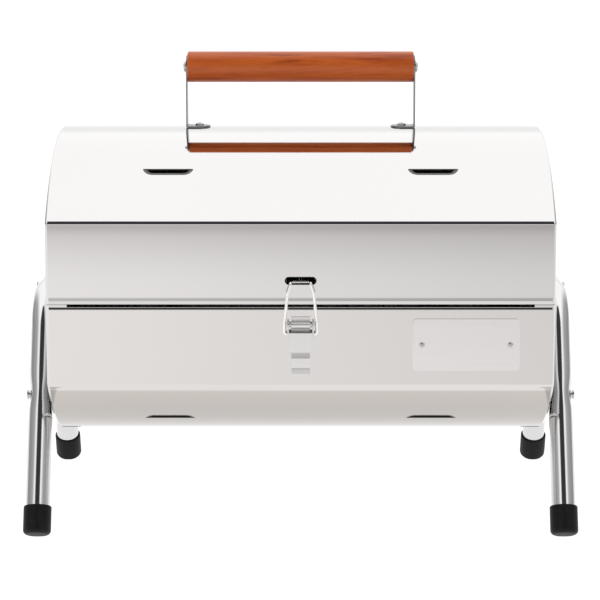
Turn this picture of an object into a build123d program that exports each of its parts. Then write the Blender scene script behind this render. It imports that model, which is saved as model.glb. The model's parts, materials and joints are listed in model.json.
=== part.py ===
"""Portable table-top charcoal barbecue: a stainless barrel split into a base and a hinged lid.

Frame: +X along the barrel, +Z up, front (latch side) towards -Y, origin on the table under the middle.
All lengths are in millimetres.
"""
import math
import os

from build123d import *

# Barrel
BODY_LENGTH = 400.0
BODY_DEPTH = 296.0
WALL_HEIGHT = 65.0
ARCH_RISE = 60.5
SEAM_HEIGHT = 190.8
SHELL_SHEET = 1.0
END_SHEET = 0.8
CREASE_RADIUS = 4.0
END_BEND_RADIUS = 2.5
END_FLANGE = 14.0
END_SEAM_GAP = 0.2
SHELL_SEAM_GAP = 0.75
HEM_HEIGHT = 6.0
HEM_REACH = 0.8
RIM_RADIUS = 3.5
RIM_FLANGE = 2.5
RIM_HALF_LENGTH = 182.0

# Louvres pressed into the front of each arch
VENT_X = 105.5
VENT_EDGE_Y = -97.9
VENT_LENGTH = 40.0
VENT_WIDTH = 8.0
VENT_DEPTH = 5.5
VENT_SHEET = 0.9

# Slot in the lid that takes the latch hook
SLOT_LENGTH = 25.0
SLOT_HEIGHT = 6.4
SLOT_ABOVE_SEAM = 19.3

# Leg frames
TUBE_DIAMETER = 19.6
TUBE_WALL = 1.5
LEG_PLANE_X = 210.8
LEG_FLOOR_Y = 142.7
LEG_LEAN = 26.4
LEG_BEND_RADIUS = 42.0
LEG_TOP_HEIGHT = 181.4
FOOT_DIAMETER = 22.4
FOOT_LENGTH = 23.0
FOOT_BASE = 6.0
FOOT_ROUNDING = 3.5
FOOT_FLAT_CUT = 0.4
LEG_SCREW_LOW_Z = 107.0
LEG_SCREW_DIAMETER = 5.0
LEG_SCREW_HOLE = 5.3
LEG_SCREW_HEAD = 7.8
LEG_SCREW_HEAD_HEIGHT = 2.0
LEG_NUT_WIDTH = 8.0
LEG_NUT_HEIGHT = 4.0
LEG_WASHER_DIAMETER = 12.0

# Blank nameplate
PLATE_LENGTH = 84.3
PLATE_HEIGHT = 41.3
PLATE_CORNER = 3.5
PLATE_SHEET = 1.0
PLATE_X = 130.0
PLATE_BELOW_SEAM = 31.6
PLATE_RIVET_SPACING = 69.4

# Toggle latch, with distances out from the front wall and up from the latch datum
LATCH_DATUM = SEAM_HEIGHT + 1.7
PIVOT_OUT = 3.9
PIVOT_UP = -17.0
BAIL_OUT = 3.2
BAIL_UP = -24.0
PIVOT_DIAMETER = 3.0
BAIL_WIRE = 2.5
RUNNING_GAP = 0.06
LATCH_SHEET = 1.2
LATCH_PLATE_WIDTH = 15.0
LATCH_PLATE_TOP = -11.0
LATCH_PLATE_BOTTOM = -36.0
BARREL_RADIUS = 2.8
CHEEK_INNER = 9.2
LEVER_WIDTH = 18.3
TONGUE_WIDTH = 14.6
LEVER_OUT = 8.6
BAIL_FOOT_X = 12.7
BAIL_KINK_X = 10.2
BAIL_HOOK_X = 7.8

# Rear hinges
HINGE_X = 120.0
HINGE_OUT = 5.6
HINGE_WIDTH = 40.0
HINGE_LEAF = 24.0
HINGE_SHEET = 1.2
KNUCKLE_RADIUS = 3.0
KNUCKLE_COUNT = 5
KNUCKLE_GAP = 0.4
HINGE_PIN_DIAMETER = 3.0

# Carrying handle
GRIP_DIAMETER = 25.5
GRIP_LENGTH = 187.6
GRIP_HEIGHT = 366.0
STRAP_SHEET = 1.2
STRAP_WIDTH = 19.0
STRAP_FOOT = 20.0
FOOT_SCREW_X = 84.0

# Grates and what they rest on
GRATE_LENGTH = 384.0
GRATE_DEPTH = 276.0
GRATE_BARS = 27
GRATE_REST_BELOW_SEAM = 12.0
COAL_LENGTH = 384.0
COAL_DEPTH = 236.0
COAL_BARS = 19
COAL_REST_BELOW_SEAM = 63.5
REST_GAP = 0.3
TAB_X = 70.0
TAB_WIDTH = 30.0
TAB_REACH = 15.0
TAB_DROP = 13.0
RAIL_HALF_LENGTH = 95.0
SUPPORT_SHEET = 1.2

HALF_DEPTH = BODY_DEPTH / 2
HALF_LENGTH = BODY_LENGTH / 2
ARCH_RADIUS = (HALF_DEPTH ** 2 + ARCH_RISE ** 2) / (2 * ARCH_RISE)
ARCH_CENTRE = WALL_HEIGHT + ARCH_RISE - ARCH_RADIUS
RIDGE = WALL_HEIGHT + ARCH_RISE
SHELL_HALF_LENGTH = HALF_LENGTH - END_BEND_RADIUS


def x_rod(radius, x_start, x_end, y, z):
    """Round bar along X between two X positions."""
    length = abs(x_end - x_start)
    return Pos((x_start + x_end) / 2, y, z) * Rot(0, 90, 0) * Cylinder(radius, length)


def y_rod(radius, y_start, y_end, x, z):
    """Round bar along Y between two Y positions."""
    length = abs(y_end - y_start)
    return Pos(x, (y_start + y_end) / 2, z) * Rot(90, 0, 0) * Cylinder(radius, length)


def z_rod(radius, z_start, z_end, x, y):
    """Round bar along Z between two heights."""
    length = abs(z_end - z_start)
    return Pos(x, y, (z_start + z_end) / 2) * Cylinder(radius, length)


def block(x_low, x_high, y_low, y_high, z_low, z_high):
    """Rectangular block from its six limits."""
    centre = Pos((x_low + x_high) / 2, (y_low + y_high) / 2, (z_low + z_high) / 2)
    return centre * Box(abs(x_high - x_low), abs(y_high - y_low), abs(z_high - z_low))


def rounded_path(points, radii):
    """Wire through the points, with an arc of the given radius at each inner corner."""
    corners = [Vector(*point) for point in points]
    edges = []
    start = corners[0]
    for index, radius in enumerate(radii, start=1):
        corner = corners[index]
        back = (corners[index - 1] - corner).normalized()
        ahead = (corners[index + 1] - corner).normalized()
        half_angle = math.acos(max(-1.0, min(1.0, back.dot(ahead)))) / 2
        tangent = radius / math.tan(half_angle)
        middle = corner + (back + ahead).normalized() * (radius / math.sin(half_angle) - radius)
        arc_start = corner + back * tangent
        arc_end = corner + ahead * tangent
        edges.append(Line(start, arc_start))
        edges.append(ThreePointArc(arc_start, middle, arc_end))
        start = arc_end
    edges.append(Line(start, corners[-1]))
    return Wire([edge.edge() for edge in edges])


def swept_rod(path, radius):
    """Solid round rod that follows a path."""
    section = Plane(origin=path @ 0, z_dir=path % 0) * Circle(radius)
    return sweep(section, path=path)


def group(solids):
    """Several separate solids kept together in one sub-part."""
    return Compound(children=[Solid(solid.solid().wrapped) for solid in solids])


def half_outline(inset, foot):
    """Cross-section of one half of the barrel, seam down, shrunk by inset and cut off at height foot."""
    half = HALF_DEPTH - inset
    radius = ARCH_RADIUS - inset
    crease = ARCH_CENTRE + math.sqrt(radius ** 2 - half ** 2)
    front = Line((-half, foot), (-half, crease))
    arch = ThreePointArc((-half, crease), (0, ARCH_CENTRE + radius), (half, crease))
    back = Line((half, crease), (half, foot))
    seam = Line((half, foot), (-half, foot))
    face = make_face([front, arch, back, seam])
    creases = [vertex for vertex in face.vertices() if abs(vertex.Y - crease) < 0.01]
    return Plane.YZ * fillet(creases, CREASE_RADIUS - inset)


def hem(side):
    """Flared lip along the seam edge of one wall; side is -1 for the front and 1 for the back."""
    wall = side * (HALF_DEPTH - SHELL_SHEET / 2)
    outer = side * HALF_DEPTH
    lip = side * (HALF_DEPTH + HEM_REACH)
    waist = side * (HALF_DEPTH + 0.2 * HEM_REACH)
    top = SHELL_SEAM_GAP + HEM_HEIGHT
    flare = ThreePointArc((outer, top), (waist, SHELL_SEAM_GAP + 0.45 * HEM_HEIGHT), (lip, SHELL_SEAM_GAP))
    under = Line((lip, SHELL_SEAM_GAP), (wall, SHELL_SEAM_GAP))
    inside = Line((wall, SHELL_SEAM_GAP), (wall, top))
    over = Line((wall, top), (outer, top))
    profile = Plane.YZ * make_face([flare, under, inside, over])
    return Pos(-SHELL_HALF_LENGTH, 0, 0) * extrude(profile, 2 * SHELL_HALF_LENGTH)


def vent_frame(x):
    """Placement on the arch: X along the vent, Y towards the ridge, Z out of the sheet."""
    lean = math.asin(-VENT_EDGE_Y / ARCH_RADIUS)
    height = ARCH_CENTRE + ARCH_RADIUS * math.cos(lean)
    normal = (0, -math.sin(lean), math.cos(lean))
    return Plane(origin=(x, VENT_EDGE_Y, height), x_dir=(1, 0, 0), z_dir=normal)


def vent_hole():
    """Prism with the plan shape of one vent, straight on the ridge side and round at the ends."""
    middle = VENT_LENGTH / 2 - VENT_WIDTH
    straight = Line((-VENT_LENGTH / 2, 0), (VENT_LENGTH / 2, 0))
    right = RadiusArc((VENT_LENGTH / 2, 0), (middle, -VENT_WIDTH), VENT_WIDTH)
    bottom = Line((middle, -VENT_WIDTH), (-middle, -VENT_WIDTH))
    left = RadiusArc((-middle, -VENT_WIDTH), (-VENT_LENGTH / 2, 0), VENT_WIDTH)
    plan = make_face([straight, right, bottom, left])
    return Pos(0, 0, -2) * extrude(plan, 4)


def vent_flap():
    """Pressed-in flap of one vent: it leaves the sheet on the seam side and ends in a free straight lip."""
    edge = VENT_WIDTH + 0.3
    upper_root = (-edge, -0.1)
    upper_lip = (0, -VENT_DEPTH + VENT_SHEET)
    lower_lip = (0, -VENT_DEPTH)
    lower_root = (-edge, -VENT_SHEET)
    upper = ThreePointArc(upper_root, (-0.42 * edge, -0.27 * VENT_DEPTH), upper_lip)
    lip = Line(upper_lip, lower_lip)
    lower = ThreePointArc(lower_lip, (-0.46 * edge, -0.27 * VENT_DEPTH - VENT_SHEET), lower_root)
    root = Line(lower_root, upper_root)
    profile = Plane.YZ * make_face([upper, lip, lower, root])
    middle = VENT_LENGTH / 2 - VENT_WIDTH
    flap = Pos(-middle, 0, 0) * extrude(profile, 2 * middle)
    right = revolve(Pos(middle, 0, 0) * profile, Axis((middle, 0, 0), (0, 0, 1)), 90)
    left = revolve(Pos(-middle, 0, 0) * profile, Axis((-middle, 0, 0), (0, 0, 1)), -90)
    return flap + right + left


def rolled_rim(side):
    """Seam edge of one base wall, rolled inwards; side is -1 for the front and 1 for the back."""
    gap = SHELL_SEAM_GAP
    inner = RIM_RADIUS - SHELL_SHEET
    centre = HALF_DEPTH - RIM_RADIUS
    diagonal = math.sqrt(0.5)
    foot = gap + RIM_RADIUS
    flange = centre - RIM_FLANGE
    outer_middle = (centre + RIM_RADIUS * diagonal, foot - RIM_RADIUS * diagonal)
    inner_middle = (centre + inner * diagonal, foot - inner * diagonal)
    sections = [
        Line((HALF_DEPTH - SHELL_SHEET, foot), (HALF_DEPTH, foot)),
        ThreePointArc((HALF_DEPTH, foot), outer_middle, (centre, gap)),
        Line((centre, gap), (flange, gap)),
        Line((flange, gap), (flange, gap + SHELL_SHEET)),
        Line((flange, gap + SHELL_SHEET), (centre, gap + SHELL_SHEET)),
        ThreePointArc((centre, gap + SHELL_SHEET), inner_middle, (HALF_DEPTH - SHELL_SHEET, foot)),
    ]
    rim = Pos(-RIM_HALF_LENGTH, 0, 0) * extrude(Plane.YZ * make_face(sections), 2 * RIM_HALF_LENGTH)
    return rim if side > 0 else mirror(rim, about=Plane.XZ)


def wrap_sheet():
    """One bent sheet: front wall, arch and back wall, seam down, with its two vents."""
    outer = extrude(half_outline(0, SHELL_SEAM_GAP), 2 * SHELL_HALF_LENGTH)
    inner = extrude(half_outline(SHELL_SHEET, -SHELL_SHEET), 2 * SHELL_HALF_LENGTH + 2)
    sheet = Pos(-SHELL_HALF_LENGTH, 0, 0) * outer - Pos(-SHELL_HALF_LENGTH - 1, 0, 0) * inner
    for x in (-VENT_X, VENT_X):
        place = vent_frame(x).location
        sheet = sheet - place * vent_hole() + place * vent_flap()
    return sheet


def lid_wrap():
    """Lid wrap sheet, seam down, with a flared hem that stops short of the hinges."""
    sheet = wrap_sheet() + hem(-1) + hem(1)
    notch = HINGE_WIDTH / 2 + 1.0
    for x in (-HINGE_X, HINGE_X):
        sheet -= block(x - notch, x + notch, HALF_DEPTH, HALF_DEPTH + 4, 0, HEM_HEIGHT + 2)
    return sheet


def base_wrap():
    """Base wrap sheet, seam down, with its front and back edges rolled inwards between the end panels."""
    sheet = wrap_sheet()
    for side in (-1, 1):
        edge = block(
            -RIM_HALF_LENGTH,
            RIM_HALF_LENGTH,
            side * (HALF_DEPTH - 2 * SHELL_SHEET),
            side * (HALF_DEPTH + SHELL_SHEET),
            0,
            SHELL_SEAM_GAP + RIM_RADIUS,
        )
        sheet = sheet - edge + rolled_rim(side)
    return sheet


def end_pan():
    """End panel at +X: a flat plate whose bent flange lies under the wrap sheet, seam down."""
    depth = END_FLANGE + END_BEND_RADIUS
    outer = extrude(half_outline(SHELL_SHEET, END_SEAM_GAP), depth)
    outer = Pos(HALF_LENGTH - depth, 0, 0) * outer
    rim = [edge for edge in outer.faces().sort_by(Axis.X)[-1].edges() if edge.center().Z > 1]
    outer = fillet(rim, END_BEND_RADIUS)
    inner = extrude(half_outline(SHELL_SHEET + END_SHEET, -5), depth + 5)
    inner = Pos(HALF_LENGTH - END_SHEET - depth - 5, 0, 0) * inner
    rim = [edge for edge in inner.faces().sort_by(Axis.X)[-1].edges() if edge.center().Z > 1]
    inner = fillet(rim, END_BEND_RADIUS - END_SHEET)
    return outer - inner


def leg_screw_points():
    """Y and Z of the three screws through one leg frame: one in each leg, one in the top rail."""
    low_y = LEG_FLOOR_Y - LEG_SCREW_LOW_Z * math.tan(math.radians(LEG_LEAN))
    return [(-low_y, LEG_SCREW_LOW_Z), (low_y, LEG_SCREW_LOW_Z), (0.0, LEG_TOP_HEIGHT)]


def leg_shoulder_y():
    """Y at which the straight leg axis would meet the height of the top rail."""
    return LEG_FLOOR_Y - LEG_TOP_HEIGHT * math.tan(math.radians(LEG_LEAN))


def leg_bend_centre():
    """Y and Z of the centre of the bend between a leg and the top rail."""
    turn = math.radians(90 - LEG_LEAN)
    return leg_shoulder_y() - LEG_BEND_RADIUS * math.tan(turn / 2), LEG_TOP_HEIGHT - LEG_BEND_RADIUS


def foot_start():
    """Distance along a leg axis from the floor up to the foot's flat end."""
    lean = math.radians(LEG_LEAN)
    reach = (FOOT_DIAMETER / 2 - FOOT_ROUNDING) * math.sin(lean) + FOOT_ROUNDING * (1 - math.cos(lean))
    return (reach - FOOT_FLAT_CUT) / math.cos(lean)


def leg_point(side, along):
    """Point on a leg axis at a distance from the floor; side is -1 for the front and 1 for the rear."""
    lean = math.radians(LEG_LEAN)
    return (LEG_PLANE_X, side * (LEG_FLOOR_Y - along * math.sin(lean)), along * math.cos(lean))


def leg_frame():
    """Bent tube of the +X end: two splayed legs joined by a level top rail."""
    tube_start = foot_start() + FOOT_BASE
    shoulder = leg_shoulder_y()
    corners = [
        leg_point(-1, tube_start),
        (LEG_PLANE_X, -shoulder, LEG_TOP_HEIGHT),
        (LEG_PLANE_X, shoulder, LEG_TOP_HEIGHT),
        leg_point(1, tube_start),
    ]
    path = rounded_path(corners, [LEG_BEND_RADIUS, LEG_BEND_RADIUS])
    tube = swept_rod(path, TUBE_DIAMETER / 2) - swept_rod(path, TUBE_DIAMETER / 2 - TUBE_WALL)
    for y, z in leg_screw_points():
        tube -= x_rod(LEG_SCREW_HOLE / 2, LEG_PLANE_X - TUBE_DIAMETER, LEG_PLANE_X + TUBE_DIAMETER, y, z)
    return tube


def leg_foot(side):
    """Rubber ferrule on one leg of the +X end, with a small flat where it meets the table."""
    foot = Pos(0, 0, FOOT_LENGTH / 2) * Cylinder(FOOT_DIAMETER / 2, FOOT_LENGTH)
    foot = fillet(foot.edges().sort_by(Axis.Z)[0], FOOT_ROUNDING)
    bore_length = FOOT_LENGTH - FOOT_BASE
    foot -= Pos(0, 0, FOOT_BASE + bore_length / 2) * Cylinder(TUBE_DIAMETER / 2, bore_length)
    start = Vector(*leg_point(side, foot_start()))
    up = Vector(*leg_point(side, foot_start() + 1)) - start
    foot = Plane(origin=start, x_dir=(1, 0, 0), z_dir=up).location * foot
    under = block(LEG_PLANE_X - 20, LEG_PLANE_X + 20, start.Y - 30, start.Y + 30, -10, 0)
    return foot - under


def leg_screws():
    """Three pan-head screws through the +X leg frame."""
    crown = LEG_PLANE_X + TUBE_DIAMETER / 2
    tail = HALF_LENGTH - END_SHEET - LEG_NUT_HEIGHT - 1.5
    screws = []
    for y, z in leg_screw_points():
        head = x_rod(LEG_SCREW_HEAD / 2, crown, crown + LEG_SCREW_HEAD_HEIGHT, y, z)
        head = fillet(head.edges().sort_by(Axis.X)[-1], 1.4)
        screws.append(head + x_rod(LEG_SCREW_DIAMETER / 2, tail, crown, y, z))
    return group(screws)


def hex_nut(width, height, bore):
    """Hexagon nut with its axis on Z and its bearing face at the origin."""
    nut = extrude(RegularPolygon(width / 2, 6, major_radius=False), height)
    return nut - Pos(0, 0, height / 2) * Cylinder(bore / 2, height)


def leg_nuts():
    """Nuts on the inner side of the +X end panel."""
    nuts = []
    for y, z in leg_screw_points():
        nut = hex_nut(LEG_NUT_WIDTH, LEG_NUT_HEIGHT, LEG_SCREW_DIAMETER)
        nuts.append(Pos(HALF_LENGTH - END_SHEET, y, z) * Rot(0, -90, 0) * nut)
    return group(nuts)


def leg_washers():
    """Spacing washers between the +X end panel and the leg tube."""
    inner = LEG_PLANE_X - TUBE_DIAMETER / 2
    washers = []
    for y, z in leg_screw_points():
        washer = x_rod(LEG_WASHER_DIAMETER / 2, HALF_LENGTH, inner, y, z)
        washers.append(washer - x_rod(LEG_SCREW_HOLE / 2, HALF_LENGTH, inner, y, z))
    return group(washers)


def wall_rivet(x, z, side, under_head, shank, head, inside):
    """Rivet through the front (side -1) or back (side 1) wall, from under its head to a tail inside."""
    head_base = side * (HALF_DEPTH + under_head)
    head_height = 0.28 * head
    dome = y_rod(head / 2, head_base, head_base + side * head_height, x, z)
    outermost = dome.edges().sort_by(Axis.Y)[0 if side < 0 else -1]
    dome = fillet(outermost, 0.8 * head_height)
    stem = y_rod(shank / 2, head_base, side * (inside - 0.1), x, z)
    tail = y_rod(0.8 * shank, side * (inside - 0.9), side * inside, x, z)
    return dome + stem + tail


def out_point(x, out, up):
    """Point given by its distance out from the front wall and up from the latch datum."""
    return (x, -HALF_DEPTH - out, LATCH_DATUM + up)


def side_plate(outline, x_low, x_high):
    """Flat plate in the YZ plane from points given as distance out and height above the latch datum."""
    corners = [(-HALF_DEPTH - out, LATCH_DATUM + up) for out, up in outline]
    profile = Plane.YZ * make_face(Polyline(*corners, close=True))
    return Pos(x_low, 0, 0) * extrude(profile, x_high - x_low)


def latch_base_plate():
    """Plate riveted to the base front wall, with a rolled barrel for the lever pivot."""
    half = LATCH_PLATE_WIDTH / 2
    outline = [
        (0, LATCH_PLATE_BOTTOM),
        (LATCH_SHEET, LATCH_PLATE_BOTTOM),
        (LATCH_SHEET, LATCH_PLATE_TOP),
        (0, LATCH_PLATE_TOP),
    ]
    plate = side_plate(outline, -half, half)
    web = [
        (LATCH_SHEET / 2, PIVOT_UP - BARREL_RADIUS),
        (PIVOT_OUT, PIVOT_UP - BARREL_RADIUS),
        (PIVOT_OUT, PIVOT_UP),
        (LATCH_SHEET / 2, PIVOT_UP),
    ]
    plate += side_plate(web, -half, half)
    y, z = out_point(0, PIVOT_OUT, PIVOT_UP)[1:]
    plate += x_rod(BARREL_RADIUS, -half, half, y, z)
    plate -= x_rod(PIVOT_DIAMETER / 2, -half - 1, half + 1, y, z)
    for x, up in latch_rivet_points():
        hole_y = -HALF_DEPTH - LATCH_SHEET / 2
        plate -= y_rod(1.5, hole_y - LATCH_SHEET, hole_y + LATCH_SHEET, x, LATCH_DATUM + up)
    return plate


def latch_rivet_points():
    """X and height above the latch datum of the two latch rivets."""
    return [(-3.8, -31.0), (3.8, -31.0)]


def latch_lever():
    """Toggle lever: two cheeks on the pivot, a stiffened plate and a stepped finger tongue."""
    cheek_points = [(PIVOT_OUT, PIVOT_UP, 3.3), (BAIL_OUT, BAIL_UP, 2.6)]
    outline = [
        (PIVOT_OUT + 3.3, PIVOT_UP),
        (LEVER_OUT - LATCH_SHEET, -22.0),
        (LEVER_OUT - LATCH_SHEET, -26.6),
        (BAIL_OUT, BAIL_UP - 2.6),
        (BAIL_OUT - 2.6, BAIL_UP),
        (PIVOT_OUT - 3.3, PIVOT_UP),
    ]
    plate_half = LEVER_WIDTH / 2
    tongue_half = TONGUE_WIDTH / 2
    lever = None
    for side in (-1, 1):
        inner = side * CHEEK_INNER
        outer = side * (CHEEK_INNER + LATCH_SHEET)
        low, high = min(inner, outer), max(inner, outer)
        cheek = side_plate(outline, low, high)
        for out, up, radius in cheek_points:
            y, z = out_point(0, out, up)[1:]
            cheek += x_rod(radius, low, high, y, z)
        web_low = min(side * (plate_half - LATCH_SHEET), outer)
        web_high = max(side * (plate_half - LATCH_SHEET), outer)
        web = [(6.2, -26.6), (LEVER_OUT - LATCH_SHEET / 2, -26.6), (LEVER_OUT - LATCH_SHEET / 2, -22.6), (6.2, -22.6)]
        cheek += side_plate([(min(out, LEVER_OUT - LATCH_SHEET), up) for out, up in web], web_low, web_high)
        flange_low = min(side * plate_half, side * (plate_half - LATCH_SHEET))
        flange = [(3.6, -26.6), (LEVER_OUT - 0.6, -22.6), (LEVER_OUT - 0.6, -37.4), (3.6, -36.0)]
        cheek += side_plate(flange, flange_low, flange_low + LATCH_SHEET)
        lever = cheek if lever is None else lever + cheek
    face = [
        (LEVER_OUT - LATCH_SHEET, -22.6),
        (LEVER_OUT, -22.6),
        (LEVER_OUT, -38.0),
        (LEVER_OUT - LATCH_SHEET, -38.0),
    ]
    lever += side_plate(face, -plate_half, plate_half)
    tongue = [
        (LEVER_OUT - LATCH_SHEET, -37.0),
        (LEVER_OUT, -37.0),
        (LEVER_OUT, -38.0),
        (5.7, -42.8),
        (5.7, -51.0),
        (7.2, -55.2),
        (6.1, -55.6),
        (4.5, -51.2),
        (4.5, -42.4),
        (LEVER_OUT - LATCH_SHEET, -37.6),
    ]
    lever += side_plate(tongue, -tongue_half, tongue_half)
    y, z = out_point(0, PIVOT_OUT, PIVOT_UP)[1:]
    lever -= x_rod(PIVOT_DIAMETER / 2 + RUNNING_GAP, -20, 20, y, z)
    y, z = out_point(0, BAIL_OUT, BAIL_UP)[1:]
    lever -= x_rod(BAIL_WIRE / 2 + RUNNING_GAP, -20, 20, y, z)
    return lever


def latch_bail():
    """Wire bail: it pivots in the lever cheeks and its bent top hooks into the lid slot."""
    hook_up = SEAM_HEIGHT + SLOT_ABOVE_SEAM - LATCH_DATUM - SLOT_HEIGHT / 2 + BAIL_WIRE / 2 + 0.4
    right = [
        out_point(CHEEK_INNER - 0.6, BAIL_OUT, BAIL_UP),
        out_point(BAIL_FOOT_X, BAIL_OUT, BAIL_UP),
        out_point(BAIL_FOOT_X, BAIL_OUT, -15.0),
        out_point(BAIL_KINK_X, 3.1, 9.0),
        out_point(BAIL_HOOK_X, 2.4, hook_up),
        out_point(BAIL_HOOK_X, -3.2, hook_up),
    ]
    left = [(-x, y, z) for x, y, z in reversed(right)]
    bends = [1.8, 6.0, 6.0, 1.8, 1.8]
    path = rounded_path(right + left, bends + bends[::-1])
    return swept_rod(path, BAIL_WIRE / 2)


def hinge_leaf(x, up):
    """Leaf riveted to the back wall; up is 1 for the lid's leaf and -1 for the base's."""
    near = min(up * SHELL_SEAM_GAP, up * HINGE_LEAF)
    far = max(up * SHELL_SEAM_GAP, up * HINGE_LEAF)
    half = HINGE_WIDTH / 2
    axis_y = HALF_DEPTH + HINGE_OUT
    leaf = block(x - half, x + half, HALF_DEPTH, HALF_DEPTH + HINGE_SHEET, SEAM_HEIGHT + near, SEAM_HEIGHT + far)
    pitch = HINGE_WIDTH / KNUCKLE_COUNT
    bore = HINGE_PIN_DIAMETER / 2 + (RUNNING_GAP if up > 0 else 0)
    for index in range(1 if up > 0 else 0, KNUCKLE_COUNT, 2):
        low = x - half + index * pitch + KNUCKLE_GAP / 2
        high = low + pitch - KNUCKLE_GAP
        arm_low = min(up * SHELL_SEAM_GAP, up * (SHELL_SEAM_GAP + HINGE_SHEET))
        arm_base = SEAM_HEIGHT + arm_low
        leaf += block(low, high, HALF_DEPTH, axis_y, arm_base, arm_base + HINGE_SHEET)
        leaf += x_rod(KNUCKLE_RADIUS, low, high, axis_y, SEAM_HEIGHT)
    leaf -= x_rod(bore, x - half, x + half, axis_y, SEAM_HEIGHT)
    for rivet_x, rivet_z in hinge_rivet_points(x, up):
        leaf -= y_rod(1.5, HALF_DEPTH - 1, HALF_DEPTH + 2, rivet_x, rivet_z)
    return leaf


def hinge_rivet_points(x, up):
    """X and Z of the two rivets of one leaf."""
    return [(x - 12.0, SEAM_HEIGHT + up * 15.0), (x + 12.0, SEAM_HEIGHT + up * 15.0)]


def handle_strap():
    """Flat strap at the +X end of the grip, with a foot bent inwards along the ridge."""
    ridge = SEAM_HEIGHT + RIDGE
    outer = GRIP_LENGTH / 2 + STRAP_SHEET
    half = STRAP_WIDTH / 2
    top = Plane.YZ * Pos(0, GRIP_HEIGHT, 0) * Circle(half)
    upright = Pos(outer - STRAP_SHEET, 0, 0) * extrude(top, STRAP_SHEET)
    upright += block(outer - STRAP_SHEET, outer, -half, half, ridge, GRIP_HEIGHT)
    foot_x = outer - STRAP_FOOT
    foot = block(foot_x + half, outer, -half, half, ridge, ridge + STRAP_SHEET)
    foot += z_rod(half, ridge, ridge + STRAP_SHEET, foot_x + half, 0)
    strap = upright + foot
    bend = [edge for edge in strap.edges().filter_by(Axis.Y) if abs(edge.center().Y) < 0.1]
    outside = [edge for edge in bend if edge.center().X > outer - 0.1 and edge.center().Z < ridge + 0.1]
    strap = fillet(outside, 1.0)
    strap -= x_rod(2.6, outer - 5, outer + 5, 0, GRIP_HEIGHT)
    strap -= z_rod(2.1, ridge - 1, ridge + 5, FOOT_SCREW_X, 0)
    return strap


def handle_end_screw():
    """Wood screw that holds the strap to the +X end of the grip."""
    outer = GRIP_LENGTH / 2 + STRAP_SHEET
    head = x_rod(4.5, outer, outer + 2.6, 0, GRIP_HEIGHT)
    head = fillet(head.edges().sort_by(Axis.X)[-1], 1.6)
    return head + x_rod(2.2, outer - 26, outer, 0, GRIP_HEIGHT)


def handle_foot_screw():
    """Machine screw through the strap foot and the lid ridge."""
    top = SEAM_HEIGHT + RIDGE + STRAP_SHEET
    head = z_rod(3.6, top, top + 2.2, FOOT_SCREW_X, 0)
    head = fillet(head.edges().sort_by(Axis.Z)[-1], 1.3)
    return head + z_rod(2.0, top - 8, top, FOOT_SCREW_X, 0)


def wire_grate(length, depth, bars, rest_z):
    """Welded wire grate: a round frame, two stiffeners inside it and cross bars on top, as one solid."""
    frame_radius = 2.5
    stiffener_radius = 2.0
    bar_radius = 1.6
    corner = 14.0
    half_x = length / 2 - frame_radius
    half_y = depth / 2 - frame_radius
    frame_z = frame_radius
    rods = []
    for side in (-1, 1):
        rods.append(x_rod(frame_radius, -half_x + corner, half_x - corner, side * half_y, frame_z))
        rods.append(y_rod(frame_radius, -half_y + corner, half_y - corner, side * half_x, frame_z))
        rods.append(x_rod(stiffener_radius, -half_x, half_x, side * half_y / 3, frame_z))
    ring = Pos(0, 0, frame_z) * Torus(corner, frame_radius)
    for x in (-1, 1):
        for y in (-1, 1):
            quarter = ring & block(0, x * 2 * corner, 0, y * 2 * corner, -frame_z, 3 * frame_z)
            rods.append(Pos(x * (half_x - corner), y * (half_y - corner), 0) * quarter)
    bar_z = frame_z + frame_radius + bar_radius - 0.7
    span = half_x - corner - 3.0
    for index in range(bars):
        x = -span + 2 * span * index / (bars - 1)
        rods.append(y_rod(bar_radius, -half_y - 1, half_y + 1, x, bar_z))
    return Pos(0, 0, rest_z) * rods[0].fuse(*rods[1:])


def grate_tab(x, side):
    """Angle tab on the inside of the front (side -1) or back (side 1) wall, under the cooking grate."""
    top = SEAM_HEIGHT - GRATE_REST_BELOW_SEAM
    wall = HALF_DEPTH - SHELL_SHEET
    low_x = x - TAB_WIDTH / 2
    high_x = x + TAB_WIDTH / 2
    shelf = sorted((side * wall, side * (wall - TAB_REACH)))
    leg = sorted((side * wall, side * (wall - SUPPORT_SHEET)))
    tab = block(low_x, high_x, shelf[0], shelf[1], top - SUPPORT_SHEET, top)
    return tab + block(low_x, high_x, leg[0], leg[1], top - TAB_DROP, top)


def coal_rail():
    """Angle rail on the inside of the +X end panel, under the charcoal grate."""
    top = SEAM_HEIGHT - COAL_REST_BELOW_SEAM
    wall = HALF_LENGTH - END_SHEET
    half = RAIL_HALF_LENGTH
    rail = block(wall - TAB_REACH, wall, -half, half, top - SUPPORT_SHEET, top)
    return rail + block(wall - SUPPORT_SHEET, wall, -half, half, top - TAB_DROP, top)


def left(shape):
    """Mirror image of a +X piece for the -X end."""
    return mirror(shape, about=Plane.YZ)


def to_lid(shape):
    """Place a seam-down half on the base."""
    return Pos(0, 0, SEAM_HEIGHT) * shape


def to_base(shape):
    """Turn a seam-down half over and place it under the seam."""
    return Pos(0, 0, SEAM_HEIGHT) * mirror(shape, about=Plane.XY)


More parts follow.
